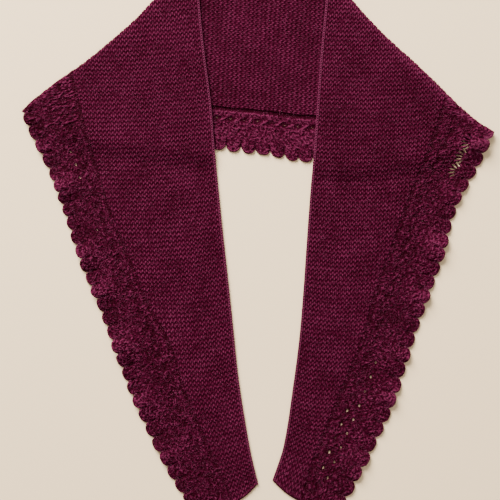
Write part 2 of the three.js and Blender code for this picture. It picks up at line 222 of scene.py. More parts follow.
def lay(fold, point, mid, wall, offset):
    """Puts flat points with a height over the cloth's middle in place, turned under past the fold."""
    radius = (wall + GARTER_WALL + LAYER_GAP) / 2
    core = radius - wall / 2
    if fold is None:
        return np.concatenate([point, (mid + offset)[..., None]], axis=-1)
    past = past_crease(fold, point, radius)
    turned = np.maximum(past, 0)
    angle = np.clip(turned / TURN_PITCH, 0, math.pi)
    beyond = np.maximum(turned - math.pi * TURN_PITCH, 0)
    most = wall / 2 + STITCH_ROOM * np.maximum(np.cos(angle), 0)
    offset = np.where(past > 0, np.minimum(offset, most), offset)
    reach = (core + offset) * np.sin(angle) - beyond - turned
    flat = np.where((past > 0)[..., None], point + way_out(fold, point) * reach[..., None], point)
    height = np.where(past > 0, radius + (core + offset) * np.cos(angle), mid + offset)
    return np.concatenate([flat, height[..., None]], axis=-1)


# Painted highlight near each fold, stronger at the right fold.
LEFT_FOLD_HIGHLIGHT, RIGHT_FOLD_HIGHLIGHT = 0.15, 0.5
FOLD_HIGHLIGHT_BAND = (-13, -1)  # from here to here past a fold's outer line the glow grows


def fold_painted_highlight(fold, flat):
    """How much lighter the yarn is painted near a fold: a painted highlight where the lamp's light falls on
    the turned cloth.
    """
    if fold is None:
        return 0.0
    highlight = LEFT_FOLD_HIGHLIGHT if fold is LEFT_FOLD else RIGHT_FOLD_HIGHLIGHT
    return highlight * smooth(*FOLD_HIGHLIGHT_BAND, past_crease(fold, flat, 0))


def lift_at(point):
    """The height of what a front lies on: the back, and then the surface past the back's edge."""
    edge = curve(BACK_ROWS, "tip_x", "tip_y", point[..., 0])
    return ON_BACK * (1 - smooth(RAMP_START, RAMP_END, edge - point[..., 1]))


def garter_lift(fold, point):
    """The height of what a front's garter stitch lies on, which stays on the back along the fold."""
    return np.where(past_crease(fold, point, 0) > -GARTER_FOLD_BAND, ON_BACK, lift_at(point))


def ruffle_at(ruffles, row, across):
    """How far the ruffles lift a row at a share of the way across the edging."""
    rise = np.zeros(np.broadcast(row, across).shape)
    for wave in ruffles:
        away = np.clip((row - wave.crest) / wave.half, -1, 1)
        rise = rise + wave.rise * (0.5 + 0.5 * np.cos(np.pi * away))
    return rise * smooth(RUFFLE_ROOT, 1, across)


def grid_faces(first, last, columns, is_open=None):
    """Corners of the faces of a grid whose row i runs from column first[i] to last[i].

    Columns outside that are drawn in to it, so a face there has a corner twice, or is left out.
    """
    column = np.clip(np.arange(columns)[None, :], first[:, None], last[:, None])
    at = np.arange(len(last))[:, None] * columns + column
    corners = np.stack([at[:-1, :-1], at[:-1, 1:], at[1:, 1:], at[1:, :-1]], axis=-1)
    keep = (corners[..., 0] != corners[..., 1]) | (corners[..., 2] != corners[..., 3])
    if is_open is not None:
        keep &= ~is_open
    return corners[keep]


KEY_STEP = 10_000_000  # more than the number of points of any mesh here


def edge_keys(start, end):
    """A number for each edge, by its two points."""
    return start.astype(np.int64) * KEY_STEP + end


def add_object(name, data):
    obj = bpy.data.objects.new(name, data)
    bpy.context.scene.collection.objects.link(obj)
    return obj


def build_mesh(name, points, corners):
    """A mesh from points in millimetres and faces of four corners, of which two in a row may be the same."""
    used = corners != np.roll(corners, -1, axis=1)
    loops = corners[used]
    sides = used.sum(axis=1)
    mesh = bpy.data.meshes.new(name)
    mesh.vertices.add(len(points))
    mesh.vertices.foreach_set("co", (points * MM).astype(np.float32).ravel())
    mesh.loops.add(len(loops))
    mesh.loops.foreach_set("vertex_index", loops.astype(np.int32))
    mesh.polygons.add(len(sides))
    mesh.polygons.foreach_set("loop_start", np.concatenate([[0], np.cumsum(sides)[:-1]]).astype(np.int32))
    mesh.polygons.foreach_set("use_smooth", np.ones(len(sides), bool))
    mesh.update(calc_edges=True)
    return mesh


def turning(x, y):
    """Above 0 for faces that run anticlockwise, below 0 for clockwise ones."""
    return (x * np.roll(y, -1, axis=-1) - y * np.roll(x, -1, axis=-1)).sum()


def one_sided_edges(corners):
    """The edges that only one face uses, in the direction of that face."""
    begin, end = corners.ravel(), np.roll(corners, -1, axis=1).ravel()
    real = begin != end
    begin, end = begin[real], end[real]
    free = ~np.isin(edge_keys(end, begin), edge_keys(begin, end))
    return begin[free], end[free]


def coarse_cover(corners, columns, step):
    """Triangles over the same stretch of a grid as its faces, on its edges and on few points inside."""
    begin, end = one_sided_edges(corners)
    edge = np.unique(np.concatenate([begin, end]))
    used = np.unique(corners)
    rows, margin = int(used.max()) // columns + 1, 4
    inside = np.zeros((rows + 2 * margin, columns + 2 * margin), bool)
    inside[used // columns + margin, used % columns + margin] = True
    inside[edge // columns + margin, edge % columns + margin] = False
    rings = [inside]  # places at least this many cells from the edge
    for _ in range(3):
        last = rings[-1]
        core = last.copy()
        for turn in ((1, 0), (-1, 0), (0, 1), (0, -1)):
            core &= np.roll(last, turn, axis=(0, 1))
        rings.append(core)
    i, j = np.indices(inside.shape)
    chosen = rings[1] & ~rings[2] & ((i + j) % 2 == 0)
    chosen |= rings[3] & (i % step == 0) & (j % step == 0)
    i, j = np.nonzero(chosen)
    points = np.concatenate([edge, (i - margin) * columns + (j - margin)])
    place = {int(p): k for k, p in enumerate(points)}
    flat = [(float(p // columns), float(p % columns)) for p in points]
    rims = [(place[int(a)], place[int(b)]) for a, b in zip(begin, end)]
    _, _, triangles, source, _, _ = delaunay_2d_cdt(flat, rims, [], 0, 1e-6)
    own = [found[0] for found in source]
    triangles = [tuple(own[v] for v in triangle) for triangle in triangles]
    owner = {}
    for k, (a, b, c) in enumerate(triangles):
        (ax, ay), (bx, by), (cx, cy) = flat[a], flat[b], flat[c]
        if (bx - ax) * (cy - ay) - (by - ay) * (cx - ax) < 0:
            triangles[k] = (a, c, b)
        a, b, c = triangles[k]
        owner[(a, b)] = owner[(b, c)] = owner[(c, a)] = k
    # The side of each edge on which the faces lie is where the cover begins, and it ends at other edges.
    turn = turning(*np.divmod(corners[len(corners) // 2], columns))
    walls = set(rims) | {(b, a) for a, b in rims}
    starts = [owner[(a, b) if turn > 0 else (b, a)] for a, b in rims]
    kept, waiting = set(starts), list(set(starts))
    while waiting:
        a, b, c = triangles[waiting.pop()]
        for side in ((a, b), (b, c), (c, a)):
            other = owner.get((side[1], side[0]))
            if side not in walls and other is not None and other not in kept:
                kept.add(other)
                waiting.append(other)
    cover = points[np.array([triangles[k] for k in sorted(kept)])]
    if turn < 0:
        cover = cover[:, ::-1]
    return np.concatenate([cover, cover[:, 2:]], axis=1)


UNDERSIDE = -1  # stands for the relief in the attribute knit on the underside


def shell(name, top, bottom, corners, knit, step):
    """A closed mesh object with a fine upper sheet and a coarse lower one, from grids in millimetres.

    knit is kept as an attribute: place along, place across and relief with painted highlights added, from
    which the wool paints shade in the hollows and highlight on the crests.
    """
    cover = coarse_cover(corners, top.shape[1], step)
    top, bottom, knit = (grid.reshape(-1, 3) for grid in (top, bottom, knit))
    if turning(top[corners, 0], top[corners, 1]) < 0:
        corners, cover = corners[:, ::-1], cover[:, ::-1]
    begin, end = one_sided_edges(corners)
    count = len(top)
    sides = np.stack([end, begin, begin + count, end + count], axis=1)
    faces = np.concatenate([corners, cover[:, ::-1] + count, sides])
    used, faces = np.unique(faces, return_inverse=True)
    mesh = build_mesh(name, np.concatenate([top, bottom])[used], faces.reshape(-1, 4))
    under_knit = knit.copy()
    under_knit[:, 2] = UNDERSIDE
    values = np.concatenate([knit, under_knit])[used]
    layer = mesh.attributes.new("knit", "FLOAT_VECTOR", "POINT")
    layer.data.foreach_set("vector", values.astype(np.float32).ravel())
    return add_object(name, mesh)


def rounded(distance, reach):
    """How full a wall is at a distance from its edge, from 0 to 1 on a quarter circle."""
    near = np.clip(distance / reach, 0, 1)
    return np.sqrt(1 - (1 - near) ** 2)


def ridge_lines(first, final, fine_from=-math.inf, fine_to=math.inf):
    """Rows of the lines along the ridges, few of them outside the fine stretch."""
    lines = []
    for ridge in range(math.floor(first), math.ceil(final) + 1):
        count = LINES_PER_RIDGE if fine_from <= ridge <= fine_to else COARSE_LINES_PER_RIDGE
        lines += [ridge + k / count for k in range(count) if first < ridge + k / count < final]
    return np.array([first] + lines + [final])


GARTER_LATTICE = 20  # where on the lattice of random values the lines of garter stitch begin
FOLD_PROBES = 600  # places on a line at which its way past a fold is measured
BACK_PROBES = 800  # the same for the lines of the back
LEAST_CELL = 0.3  # least width of a cell at an edge, as a share of the pitch
SWING_START = 2.5  # how far from an edge a ridge's swing is full


def probes(start, border, count):
    """Shares of the way from start to border, and the points there on each line."""
    share = np.linspace(0, 1, count)
    return share, start[:, None] + (border - start)[:, None] * share[None, :, None]


def garter_sheet(sizes, name, rows, lines, fold, edge_start, mid_of, seed):
    """A stretch of garter stitch from its neck edge, or where it comes out of a fold, to the border."""
    pitch = STITCH / SAMPLES_PER_STITCH
    start = row_point(rows, lines, "in")
    border = row_point(rows, lines, "border")
    length = np.linalg.norm(border - start, axis=1)
    skipped = edge_start(lines, start, border)[:, None]
    columns = int(math.ceil(length.max() / pitch)) + 2
    reach = np.arange(columns)[None, :] * pitch + np.zeros((len(lines), 1))
    end = length[:, None]
    if fold is not None:
        share, probe = probes(start, border, FOLD_PROBES)
        over = past_crease(fold, probe, FOLD_RADIUS) > FOLD_CLOTH
        end = (length * np.where(over.any(1), share[np.argmax(over, axis=1)], 1.0))[:, None]
    last = np.argmax(reach >= end - LEAST_CELL * pitch, axis=1)
    first = np.where(skipped > 0, np.ceil(skipped / pitch + LEAST_CELL).astype(int) - 1, 0)[:, 0]
    first = np.minimum(first, last - 1)
    reach = np.where(np.arange(columns)[None, :] >= last[:, None], end, reach)
    reach = np.where(np.arange(columns)[None, :] <= first[:, None], skipped, reach)
    share = reach / length[:, None]
    stitches = reach / STITCH

    # The ridges swing with each stitch and wander a little, but not at the edges.
    line = lines[:, None]
    inner = np.minimum(line - lines[0], lines[-1] - line)
    swing = sizes.swing * smooth(0, 1, inner) * smooth(0, SWING_START, np.minimum(reach, end - reach))
    row = line - swing * np.cos(2 * np.pi * stitches)
    row = row + 0.14 * wander(line / 5 + GARTER_LATTICE, stitches / 4, seed)
    row = row + 0.10 * wander(line * 0.9 + GARTER_LATTICE, stitches * 0.9, seed + 3)
    row = np.clip(row, lines[0], lines[-1])
    row[0], row[-1] = lines[0], lines[-1]
    inside = row_point(rows, row, "in")
    outside = row_point(rows, row, "border")
    flat = inside + (outside - inside) * share[..., None]
    flat[..., 1] -= ROW_BOW * np.sin(np.pi * share) * (fold is not None)

    # A ridge is highest at both tips of each stitch, and each stitch lies a little looser or tighter.
    place = line - np.floor(line)
    relief = np.sin(np.pi * place) ** 1.3 * (0.76 + 0.24 * np.cos(4 * np.pi * stitches))
    loose = wander(np.floor(line) * 1.3 + GARTER_LATTICE, stitches * 1.1, seed + 1)
    relief = np.clip(relief * (1 + 0.28 * loose), 0, 1.2)
    hem = np.minimum(rounded(reach - skipped + 0.3, 1.6), rounded((end - reach) + 0.9, 1.8))
    full = hem * rounded(inner * RIDGE + 0.3, 1.5)
    mid = mid_of(flat)
    upper = (GARTER_WALL / 2 + sizes.proud / MM - sizes.relief / MM * (1 - relief)) * full
    lower = -(GARTER_WALL / 2) * full
    top = lay(fold, flat, mid, GARTER_WALL, upper)
    bottom = lay(fold, flat, mid, GARTER_WALL, lower)
    # Tone for the wool: relief, which it paints as shade in the hollows and highlight on the crests, plus the
    # painted fold highlight.
    shade = relief + fold_painted_highlight(fold, flat)
    knit = np.stack(np.broadcast_arrays(stitches, line, shade), axis=-1)
    return shell(name, top, bottom, grid_faces(first, last, columns), knit, 4)


# Numbers of repeats: those with a wide eyelet, with an open lens and with a fan of slits.
Front = namedtuple("Front", "name rows fold ruffles last sense eyelets lenses fans seed")
LEFT_FRONT = Front("left_front", LEFT_ROWS, LEFT_FOLD, LEFT_RUFFLES, 87, -1, (0, 2, 3, 4, 8), (), (), 11)
RIGHT_FRONT = Front(
    "right_front", RIGHT_ROWS, RIGHT_FOLD, RIGHT_RUFFLES, 84, 1, range(18, 27), range(22, 27), (2, 3, 4), 12
)
NECK_CORNER_ROWS = 0.6  # how far below the fold's corner a neck edge begins


def front_garter(sizes, front):
    lines = ridge_lines(crease_row(front, "in", 0) + NECK_CORNER_ROWS, front.last)
    return garter_sheet(
        sizes, front.name + "_garter_knit", front.rows, lines, front.fold,
        lambda row, start, border: np.zeros(len(row)),
        lambda flat: garter_lift(front.fold, flat) + GARTER_WALL / 2, front.seed,
    )


def back_garter(sizes):
    lines = ridge_lines(-41, 41.5, -19, 18)

    def from_fold(row, start, border):
        length = np.linalg.norm(border - start, axis=1)
        share, probe = probes(start, border, BACK_PROBES)
        skipped = np.zeros(len(row))
        for fold in (LEFT_FOLD, RIGHT_FOLD):
            clear = past_crease(fold, probe, BACK_INSET) <= 0
            skipped = np.maximum(skipped, share[np.argmax(clear, axis=1)] * length)
        return skipped

    return garter_sheet(
        sizes, "back_garter_knit", BACK_ROWS, lines, None, from_fold,
        lambda flat: np.full(flat.shape[:-1], GARTER_WALL / 2), 13,
    )


# The stitches of one repeat of the lace. along: place in the repeat, from notch to notch. down: depth from
# the border. turn: degrees from the edge's direction. bend: how much it curves, out being positive.
Stitch = namedtuple("Stitch", "along down turn length bend lift")
FAN_ALONG = REPEAT / 2  # the fan is in the middle of the repeat


def stitch_line(count, first, apart, down, turns, length, bend, lift):
    """Stitches side by side at one depth, that lean by turns one way and the other."""
    return [Stitch(first + apart * k, down, turns[k % 2], length, bend, lift) for k in range(count)]


def stitch_arc(distance, count, spread, middle, squash, way, slant, length, bend):
    """Stitches on an arc round a fan's middle, to a spread in degrees on each side of it.

    way is -1 for an arc towards the border and 1 for one towards the scallop. slant is the stitches' lean.
    """
    arc = []
    for k in range(count):
        angle = -spread + 2 * spread * k / (count - 1)
        along = FAN_ALONG + squash * distance * math.sin(math.radians(angle))
        down = middle + way * distance * math.cos(math.radians(angle))
        lean = slant if k % 2 else -slant
        turn = 90 + angle + lean if way < 0 else lean - angle
        arc.append(Stitch(along, down, turn, length, bend, 0.85))
    return arc


def lace_stitches():
    """The chart of one repeat, from the border to the scallop."""
    stitches = stitch_line(7, 1.07, 2.14, 2.4, (90, 90), 4.4, 0, 0.3)
    stitches += stitch_line(6, 1.25, 2.5, 6.6, (-48, 48), 4.0, 0.2, 1.0)
    stitches += stitch_line(5, 1.5, 3, 9.4, (0, 0), 2.4, -0.5, 0.6)
    stitches += [
        Stitch(1.0, 10.9, -6, 8.0, -1.2, 0.75),
        Stitch(2.6, 17.4, -8, 8.0, 1.2, 0.85),
        Stitch(7.6, 14.6, -42, 9.5, 0.5, 1.25),
        Stitch(9.6, 14.2, -42, 9.0, 0.3, 1.25),
    ]
    stitches += stitch_line(4, 1.9, 3.75, 19.6, (-24, 24), 3.2, 0.4, 0.9)
    for along, down, turn in ((4.7, 21.6, -62), (10.3, 21.6, 62), (5.6, 25.0, 40), (9.4, 25.0, -40)):
        stitches.append(Stitch(along, down, turn, 3.2, 0.3, 0.9))
    stitches += [Stitch(along, 23.6, 12, 3.0, 0.4, 0.8) for along in (0.0, 2.4, 12.6)]
    for distance, count, spread in ((13.6, 6, 44), (10.0, 5, 50), (6.6, 4, 58)):
        stitches += stitch_arc(distance, count, spread, 40.5, 1, -1, 26, 3.3, 0.3)
    for distance, count, spread in ((4.6, 4, 100), (8.8, 8, 95)):
        stitches += stitch_arc(distance, count, spread, 39.5, 0.84, 1, 34, 3.0, 0.4)
    return stitches + stitch_line(6, 1.2, 2.5, 50.6, (-12, 12), 2.9, 0.4, 1.05)


STITCH_RADIUS = 0.8  # half the width of a stitch of lace
STAMP_MARGIN = 1.5  # room for a stitch's width and bend
GROUND_APART, GROUND_ROWS_APART = 2.5, 2.05  # the small stitches of the ground, half a step along by turns
LADDER_DEPTH = 4.6  # how far the open ladder beside the border reaches
STRETCHED_REPEATS = 1  # the number of the first repeat whose stitches the fold doesn't draw out
LINES_PER_REPEAT = 26
COLUMNS_APART = 0.68
LACE_COLUMNS = int(LACE_DEPTH / COLUMNS_APART) + 1


def turned_axes(dx, dy, degrees):
    """How far places are along a direction and across it."""
    turn = math.radians(degrees)
    return dx * math.cos(turn) + dy * math.sin(turn), -dx * math.sin(turn) + dy * math.cos(turn)


def stamp(high, along, down, stitch):
    """Raises one stitch on a grid of places along and down the edging."""
    half = stitch.length / 2
    window = half + STAMP_MARGIN
    i0, i1 = np.searchsorted(along[:, 0], (stitch.along - window, stitch.along + window))
    j0, j1 = np.searchsorted(down[0], (stitch.down - window, stitch.down + window))
    if i0 >= i1 or j0 >= j1:
        return
    dx, dy = along[i0:i1, j0:j1] - stitch.along, down[i0:i1, j0:j1] - stitch.down
    run, off = turned_axes(dx, dy, stitch.turn)
    near = np.clip(run / half, -1, 1)
    away = np.hypot(run - near * half, off - stitch.bend * (1 - near**2)) / STITCH_RADIUS
    bump = stitch.lift * (0.55 + 0.45 * (1 - near**2)) * np.sqrt(np.maximum(1 - away**2, 0))
    high[i0:i1, j0:j1] = np.maximum(high[i0:i1, j0:j1], bump)


def stamp_stitches(along, down, sense, clear, seed):
    """Height of the stitches over the web, from 0 to 1, on a grid of places along and down the edging.

    clear is how plainly the chart shows through the small stitches of its ground.
    """
    rng = np.random.default_rng(seed)
    high = np.zeros(along.shape)
    first = int(math.floor(along[0, 0] / REPEAT)) - 1
    final = int(math.ceil(along[-1, 0] / REPEAT)) + 1
    ground = [
        Stitch(
            1.2 + GROUND_APART * k + GROUND_APART / 2 * (row % 2), 1.4 + GROUND_ROWS_APART * row,
            34 if (k + row) % 2 else -34, 2.3, 0.2, 0.9,
        )
        for row in range(25)
        for k in range(6)
    ]
    chart = lace_stitches()
    # The shake of each stitch: along, down, turn, length and lift.
    for repeat in range(first, final + 1):
        for layer, places, turns in ((ground, 0.5, 24), (chart, 0.5 - 0.2 * clear, 30 - 20 * clear)):
            shake = rng.normal(0, 1, (len(layer), 5))
            for stitch, (a, b, c, d, e) in zip(layer, shake):
                x = repeat * REPEAT + (stitch.along if sense > 0 else REPEAT - stitch.along) + places * a
                turn, length, lift = stitch.turn + turns * c, stitch.length * (1 + 0.15 * d), stitch.lift
                if repeat < STRETCHED_REPEATS and clear < 0.5:
                    turn, length, lift = 90 + 0.9 * turns * c, length * 1.5, lift * (0.7 + 0.35 * b)
                elif layer is ground:
                    lift *= 1 - clear * (0.9 if stitch.down < LADDER_DEPTH else 0.5)
                else:
                    length, lift = length * (0.6 + 0.4 * clear), lift * (0.8 + 0.2 * clear)
                moved = Stitch(
                    x, stitch.down + places * b, sense * turn, length, stitch.bend, lift * (1 + 0.2 * e)
                )
                stamp(high, along, down, moved)
    return high


# Gaps in the lace: place in the repeat, half sizes, and the turn in degrees.
Gap = namedtuple("Gap", "along down half_along half_down turn")
LENS = Gap(1.5, 14.0, 5.2, 2.9, -8)
EYELET = Gap(FAN_ALONG, 22.4, 2.1, 1.4, 0)
FAN_DOWN, FAN_REACH = 39, 9  # the fan's foot down the chart, and how far from it its slits are
FAN_SLITS = [
    Gap(
        FAN_ALONG + FAN_REACH * math.sin(math.radians(angle)),
        FAN_DOWN - FAN_REACH * math.cos(math.radians(angle)), 0.8, 3.3, angle,
    )
    for angle in (-46, -23, 0, 23, 46)
]
LACE_LATTICE = 500  # where on the lattice of random values the edgings begin
# From the first of these depths to the second the ladder closes, and waver, domes and notches come in.
LADDER_BAND, WAVER_BAND, DOME_BAND, NOTCH_BAND = (3.6, 6.2), (4, 12), (26, 42), (36, 44)
NOTCH_HALF = 1.7  # half the width of the groove that leads to a notch
RIM_REACH, DOME_REACH = 1.0, 4  # how far from an edge the wall and a scallop's dome are full
EDGING_FOLD_BAND = (-16, -6)  # from here to here past a fold's outer line a front's lace rises on to the back
WEB_STITCH, WEB_RIDGE = 3.6, 4.2  # gauge of the plain stitches on the lace's underside
# Painted highlight on the ruffles: the lace is painted lighter as it rises, and a little darker where it lies
# lowest.
RUFFLE_PAINTED_HIGHLIGHT = 0.09  # how much lighter the lace is for each millimetre of rise
LEAST_HOLE = 0.05  # a hole of a smaller size isn't cut
NO_HOLE = 9.0  # a distance from holes at which the wall is whole
# The numbers of the repeats in a list of hole sizes, from 0 up and then from -32 up to -1.
NUMBERS = (np.arange(64) + 32) % 64 - 32


def gap_ratio(gap, along, down, sense, size=1.0):
    """How far places are from a gap's middle, 1 at its rim, and the way there, with the repeat's number."""
    middle = gap.along if sense > 0 else REPEAT - gap.along
    number = np.floor((along - middle) / REPEAT + 0.5).astype(int)
    dx, dy = along - middle - number * REPEAT, down - gap.down
    across, deep = turned_axes(dx, dy, sense * gap.turn)
    return np.hypot(across / gap.half_along, deep / gap.half_down) / size, dx, dy, number


SCALLOP_ROUNDNESS = 2.6
UNEVEN_SCALLOPS = 256  # after so many the scallops' unevenness starts again


def scallop_fullness(phase, roundness=SCALLOP_ROUNDNESS):
    """How far out a scallop reaches, 0 at its notches and 1 at its tip, for places from 0 to 1 along it."""
    return np.maximum(0, 1 - np.abs(2 * phase - 1) ** roundness) ** 0.6


def cut_holes(gaps, along, down, sense):
    """Opens gaps in a grid, and moves the points round each hole to its rim.

    Returns the grid's places along and down, its open cells, and the room between each point and a hole.
    """
    is_open = np.zeros((along.shape[0] - 1, along.shape[1] - 1), bool)
    hole_room = np.full(along.shape, NO_HOLE)
    parts = [(a, b) for b in (slice(None, -1), slice(1, None)) for a in (slice(None, -1), slice(1, None))]
    for gap, sizes in gaps:
        size = sizes[gap_ratio(gap, along, down, sense)[3] % len(NUMBERS)]
        ratio, dx, dy, _ = gap_ratio(gap, along, down, sense, np.maximum(size, 0.01))
        middle = sum(ratio[part] for part in parts) / 4
        inside = (middle < 0.95) & (size[:-1, :-1] > LEAST_HOLE)
        is_open |= inside
        around, keep = np.zeros(along.shape, bool), np.zeros(along.shape, bool)
        for part in parts:
            around[part] |= inside
            keep[part] |= ~inside
        rim = around & keep & (ratio > 0.3)
        pull = np.where(rim, 1 / np.maximum(ratio, 0.3) - 1, 0)
        along = along + np.clip(dx * pull, -0.45, 0.45)
        down = down + np.clip(dy * pull, -0.5, 0.5)
        room = np.where(
            size > LEAST_HOLE, (np.where(rim, 1.0, ratio) - 1) * gap.half_down * size, NO_HOLE
        )
        hole_room = np.minimum(hole_room, np.maximum(room, 0))
    return along, down, is_open, hole_room


def lace_relief(along, down, sense, clear, seed):
    """Height of the lace, 0 for its web: stitches, hollows in gaps, notches and ladder, and unevenness."""
    relief = stamp_stitches(along, down, sense, clear, seed)
    for gap, depth in ((LENS, 0.15 + 1.0 * clear), (EYELET, 0.35 + 0.3 * clear)):
        ratio = gap_ratio(gap, along, down, sense)[0]
        relief = relief - depth * (1 - smooth(0.55, 1.05, ratio)) * (1 - 0.35 * relief)
    phase = along / REPEAT - np.floor(along / REPEAT)
    notch = np.minimum(phase, 1 - phase) * REPEAT
    relief = relief - 0.7 * (1 - smooth(0, NOTCH_HALF, notch)) * smooth(*NOTCH_BAND, down)
    relief = relief + 0.3 * wander(along / 1.6 + LACE_LATTICE, down / 1.6, seed + 2)
    relief = relief - 0.8 * clear * (1 - smooth(*LADDER_BAND, down))
    return np.clip(relief, -0.4, 1.25)


def lace_sheet(name, rows, lines, fold, start_skip, mid_of, gaps, sense, clear, seed):
    """A stretch of the lace edging. gaps pairs each gap with the sizes of its holes, 0 being none."""
    along = np.repeat(lines[:, None], LACE_COLUMNS, axis=1) * REPEAT / ROWS_PER_SCALLOP
    down = np.repeat(np.linspace(0, LACE_DEPTH, LACE_COLUMNS)[None, :], len(lines), axis=0)
    relief = lace_relief(along, down, sense, clear, seed)
    along, down, is_open, hole_room = cut_holes(gaps, along, down, sense)

    # No two scallops are quite the same. Each has its own place, roundness and reach.
    uneven = np.random.default_rng(seed + 9).uniform(-1, 1, (3, UNEVEN_SCALLOPS))
    place, roundness, longer = uneven[:, np.floor(along / REPEAT).astype(int) % UNEVEN_SCALLOPS]
    phase = np.clip(along / REPEAT - np.floor(along / REPEAT) + 0.03 * place, 0, 1)
    fullness = scallop_fullness(phase, SCALLOP_ROUNDNESS + 0.5 * roundness)
    row = along * ROWS_PER_SCALLOP / REPEAT
    border = row_point(rows, row, "border")
    tip = row_point(rows, row, "tip")
    depth = np.linalg.norm(tip - border, axis=-1)
    edge = 1 - (SCALLOP_DEPTH * (1 - fullness) - 0.5 * longer * fullness) / depth
    share = down / LACE_DEPTH
    start = LOBE_START / LACE_DEPTH
    share = np.where(share > start, start + (share - start) / (1 - start) * (edge - start), share)
    share = share * (1 + SEAM_LAP / depth) - SEAM_LAP / depth
    skip = start_skip(row, border, tip) / depth
    share = np.where(skip > 0, np.maximum(share, skip), share)
    waver = 0.5 * wander(along / 6 + LACE_LATTICE, down / 6, seed + 4) * smooth(*WAVER_BAND, down)
    flat = border + (tip - border) * (share + waver * (edge - share) / depth)[..., None]

    last = np.full(len(lines), LACE_COLUMNS - 1)
    if fold is not None:
        over = past_crease(fold, flat, (LACE_WALL + GARTER_WALL + LAYER_GAP) / 2) > FOLD_CLOTH
        last = np.where(over.any(1), np.argmax(over, axis=1), last)

    # The wall gets thin at its rims, and each scallop is a low dome.
    room = np.minimum(hole_room, (1 - share / edge) * depth)
    room = np.minimum(room, np.minimum(row - lines[0], lines[-1] - row) * 5 + 0.1)
    full = 0.3 + 0.7 * rounded(room, RIM_REACH)
    dome = 0.7 * fullness * smooth(*DOME_BAND, down) * rounded(room, DOME_REACH)
    upper = (LACE_WALL / 2 - 0.85 + 1.25 * relief) * full
    lower = -(LACE_WALL / 2 - 0.2) * full
    mid = mid_of(flat, row, share)
    top = lay(fold, flat, mid, LACE_WALL, upper + dome)
    bottom = lay(fold, flat, mid, LACE_WALL, lower + 0.6 * dome)
    # Tone for the wool: relief, which it paints as shade in the hollows and highlight on the crests, the
    # painted fold highlight, and on the fronts painted highlight on raised ruffles and painted shade on the
    # lowest.
    shade = np.clip(relief, 0, 1) + fold_painted_highlight(fold, flat)
    if fold is not None:
        shade = shade + np.clip(RUFFLE_PAINTED_HIGHLIGHT * (mid - lift_at(flat) - LACE_WALL / 2 - 1), -0.1, 0.3)
    knit = np.stack([along / WEB_STITCH, down / WEB_RIDGE, shade], axis=-1)
    faces = grid_faces(np.zeros(len(lines), int), last, LACE_COLUMNS, is_open)
    return shell(name, top, bottom, faces, knit, 5)


def front_edging(front):
    first = crease_row(front, "border", FOLD_CLOTH) + 0.05
    count = int(round((front.last - first) / ROWS_PER_SCALLOP * LINES_PER_REPEAT))
    lines = np.linspace(first, front.last, count + 1)
    drawn = np.random.default_rng(front.seed).uniform(0.6, 1.15, (2, len(NUMBERS)))
    usual = (NUMBERS > 0) & (NUMBERS < front.last / ROWS_PER_SCALLOP - 1.2) & ~np.isin(NUMBERS, front.fans)
    wide = np.isin(NUMBERS, front.eyelets)
    lenses = np.isin(NUMBERS, front.lenses) * 0.28 * drawn[0]
    eyelets = np.where(wide, 0.36 + 0.3 * drawn[1], usual * 0.3 * drawn[1])
    slits = np.isin(NUMBERS, front.fans) * 1.0

    def mid_of(flat, row, share):
        away = 1 - smooth(*EDGING_FOLD_BAND, past_crease(front.fold, flat, 0))
        lift = lift_at(flat) * away + ON_BACK * (1 - away)
        rise = ruffle_at(front.ruffles, row, share) * away
        ripple = 0.5 * (1 + wander(row / 1.6 + 30, share * 3, front.seed + 5)) * smooth(0.35, 1, share)
        return lift + rise + ripple * away + LACE_WALL / 2

    gaps = [(LENS, lenses), (EYELET, eyelets)] + [(gap, slits) for gap in FAN_SLITS]
    return lace_sheet(
        front.name + "_edging_knit", front.rows, lines, front.fold,
        lambda row, border, tip: np.zeros(row.shape), mid_of, gaps, front.sense, 0.1, front.seed + 20,
    )


def back_edging():
    """The lace of the back, with fine lines only where no front covers it."""
    fine_from, fine_to, coarse = -13.5, 16.5, 0.5
    lines = np.concatenate([
        np.arange(-45, fine_from, coarse),
        np.arange(fine_from, fine_to, ROWS_PER_SCALLOP / LINES_PER_REPEAT),
        np.arange(fine_to, 45.1, coarse),
    ])
    drawn = np.random.default_rng(31).uniform(0.7, 1.15, (2, len(NUMBERS)))
    lenses = ((NUMBERS >= -4) & (NUMBERS < 5)) * 0.2 * drawn[0]
    eyelets = ((NUMBERS > -4) & (NUMBERS < 5)) * 0.28 * drawn[1]

    def from_fold(row, border, tip):
        depth = np.linalg.norm(tip - border, axis=-1)
        skipped = np.zeros(row.shape)
        for share in np.linspace(0, 1, 60)[::-1]:
            probe = border + (tip - border) * share
            for fold in (LEFT_FOLD, RIGHT_FOLD):
                past = past_crease(fold, probe, BACK_INSET)
                skipped = np.where((past > 0) & (skipped == 0), share * depth, skipped)
        return skipped

    return lace_sheet(
        "back_edging_knit", BACK_ROWS, lines, None, from_fold,
        lambda flat, row, share: np.full(row.shape, LACE_WALL / 2),
        [(LENS, lenses), (EYELET, eyelets)], 1, 0.7, 51,
    )


def crease_row(front, name, beyond):
    """The row at which a line of a front is a given distance past the fold's crease."""
    low, high = front.rows[0].row, 0.0
    for _ in range(40):
        middle = (low + high) / 2
        past = past_crease(front.fold, row_point(front.rows, middle, name), FOLD_RADIUS)
        low, high = (middle, high) if past > beyond else (low, middle)
    return high


NECK_CHAIN_INSET = 1.3  # how far inside the edge a chain lies
SCALLOP_CHAIN_INSET = 1.4
NECK_CHAIN_SINK = 0.35  # how deep the neck chain lies in the garter stitch
BIND_OFF_LEVEL = 0.72  # height of the bind-off in the lace's wall, as a share


